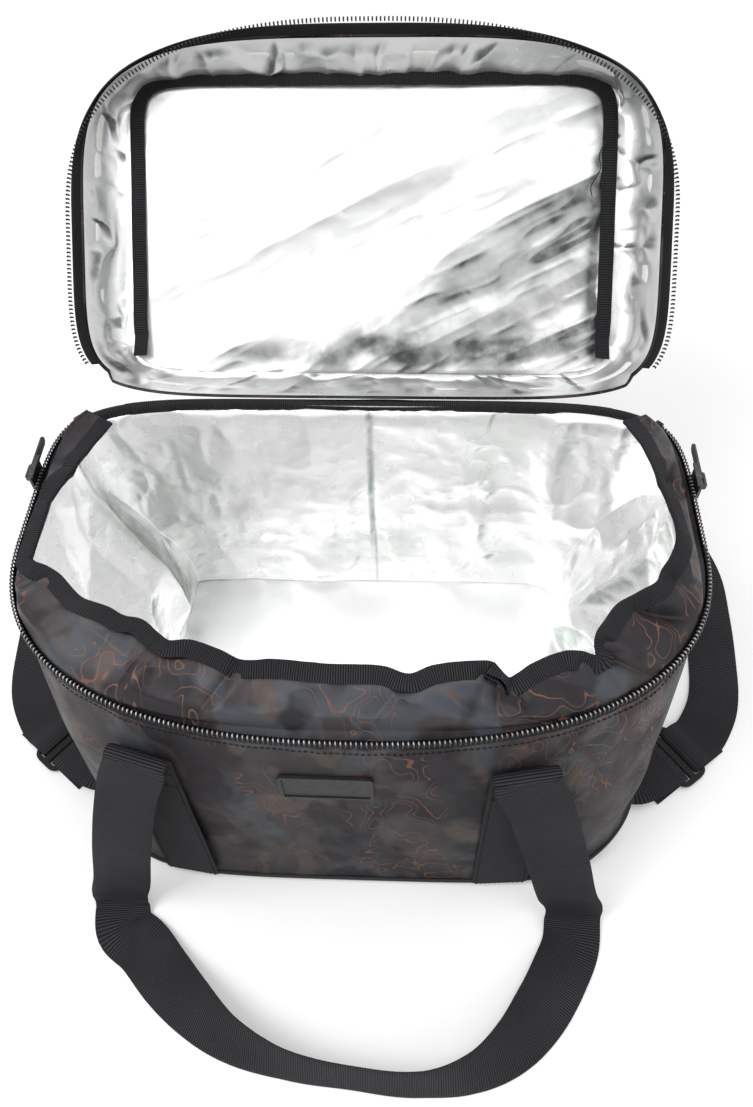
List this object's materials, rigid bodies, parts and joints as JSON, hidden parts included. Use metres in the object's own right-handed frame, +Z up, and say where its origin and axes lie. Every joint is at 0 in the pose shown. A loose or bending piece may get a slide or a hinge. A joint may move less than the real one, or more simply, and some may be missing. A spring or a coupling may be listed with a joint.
{
  "type": "cooler bag",
  "caption": "Soft insulated cooler bag with its lid folded back, foil lining, stand-up collar, side zip, webbing handles and a shoulder strap.",
  "frame": {"origin": "on the floor, under the middle of the bag's widest line", "axes": "+X to the bag's right as seen from its front, +Y towards the hinge of the lid, +Z up"},
  "size_m": [0.6016, 0.6143, 0.3825],
  "materials": {
    "camouflage_cloth": "matte printed",
    "plain_cloth": "matte",
    "webbing": "matte ribbed",
    "binding_tape": "matte ribbed",
    "foil": "silver metallised, satin",
    "foam": "matte",
    "stiff_board": "matte",
    "zip_tape": "matte",
    "zip_teeth": "satin",
    "zip_metal": "gunmetal, satin",
    "buckle_plastic": "satin",
    "patch_rubber": "matte"
  },
  "bodies": {
    "root": {"front_panel": "camouflage_cloth", "back_panel": "camouflage_cloth", "base_panel": "plain_cloth", "base_piping": "plain_cloth", "base_board": "stiff_board", "base_foam": "foam", "foam_front": "foam", "foam_back": "foam", "foam_left": "foam", "foam_right": "foam", "liner_wall": "foil", "liner_floor": "foil", "collar": "camouflage_cloth", "collar_binding": "binding_tape", "back_binding": "binding_tape", "body_zip_tape": "zip_tape", "body_zip_chain": "zip_teeth", "zip_stop_left": "zip_teeth", "zip_stop_right": "zip_teeth", "front_handle_strip_left": "webbing", "front_handle_strip_right": "webbing", "back_handle_strip_left": "webbing", "back_handle_strip_right": "webbing", "front_patch": "patch_rubber", "strap_tab_left": "webbing", "strap_tab_right": "webbing", "strap_buckle_left": "buckle_plastic", "strap_buckle_right": "buckle_plastic", "shoulder_strap": "webbing", "hinge_band": "binding_tape"},
    "lid": {"lid_top_panel": "camouflage_cloth", "lid_side_band": "camouflage_cloth", "lid_foam_top": "foam", "lid_foam_band": "foam", "lid_liner_top": "foil", "lid_liner_band": "foil", "lid_seam_binding": "binding_tape", "lid_zip_tape": "zip_tape", "lid_zip_chain": "zip_teeth"},
    "zip_slider_left": {"zip_slider_left": "zip_metal"},
    "zip_slider_right": {"zip_slider_right": "zip_metal"},
    "zip_pull_left": {"zip_pull_left": "zip_metal"},
    "zip_pull_right": {"zip_pull_right": "zip_metal"},
    "front_handle_legs": {"front_handle_leg_left": "webbing", "front_handle_leg_right": "webbing"},
    "front_handle_grip": {"front_handle_grip": "webbing"},
    "back_handle_legs": {"back_handle_leg_left": "webbing", "back_handle_leg_right": "webbing"},
    "back_handle_grip": {"back_handle_grip": "webbing"}
  },
  "joints": [
    {"name": "lid_hinge", "type": "hinge", "parent": "root", "child": "lid", "pos_m": [0, 0.12, 0.2194], "axis": [1, 0, 0], "range_deg": [0, 138]},
    {"name": "front_handle_lift", "type": "hinge", "parent": "root", "child": "front_handle_legs", "pos_m": [-0.011, -0.12797, 0.1816], "axis": [-1, 0, 0], "range_deg": [0, 155]},
    {"name": "front_handle_knee", "type": "hinge", "parent": "front_handle_legs", "child": "front_handle_grip", "pos_m": [-0.0095, -0.1604, 0.0056], "axis": [-1, 0, 0], "range_deg": [-68.5, 0]},
    {"name": "back_handle_lift", "type": "hinge", "parent": "root", "child": "back_handle_legs", "pos_m": [0, 0.1224, 0.168], "axis": [1, 0, 0], "range_deg": [0, 90]},
    {"name": "back_handle_knee", "type": "hinge", "parent": "back_handle_legs", "child": "back_handle_grip", "pos_m": [0, 0.1604, 0.0056], "axis": [1, 0, 0], "range_deg": [-68.5, 0]},
    {"name": "zip_slide_left", "type": "slide", "parent": "root", "child": "zip_slider_left", "axis": [0, -1, 0], "range_m": [0, 0.06]},
    {"name": "zip_slide_right", "type": "slide", "parent": "root", "child": "zip_slider_right", "axis": [0, -1, 0], "range_m": [0, 0.06]},
    {"name": "zip_pull_hinge_left", "type": "hinge", "parent": "zip_slider_left", "child": "zip_pull_left", "pos_m": [-0.2113, 0.05, 0.22155], "axis": [0, 0, 1], "range_deg": [0, 170]},
    {"name": "zip_pull_hinge_right", "type": "hinge", "parent": "zip_slider_right", "child": "zip_pull_right", "pos_m": [0.2113, 0.05, 0.22155], "axis": [0, 0, -1], "range_deg": [0, 170]}
  ],
  "couplings": [
    {"joint": "front_handle_knee", "follows": "front_handle_lift", "ratio": -0.43871},
    {"joint": "back_handle_knee", "follows": "back_handle_lift", "ratio": -0.43871}
  ]
}
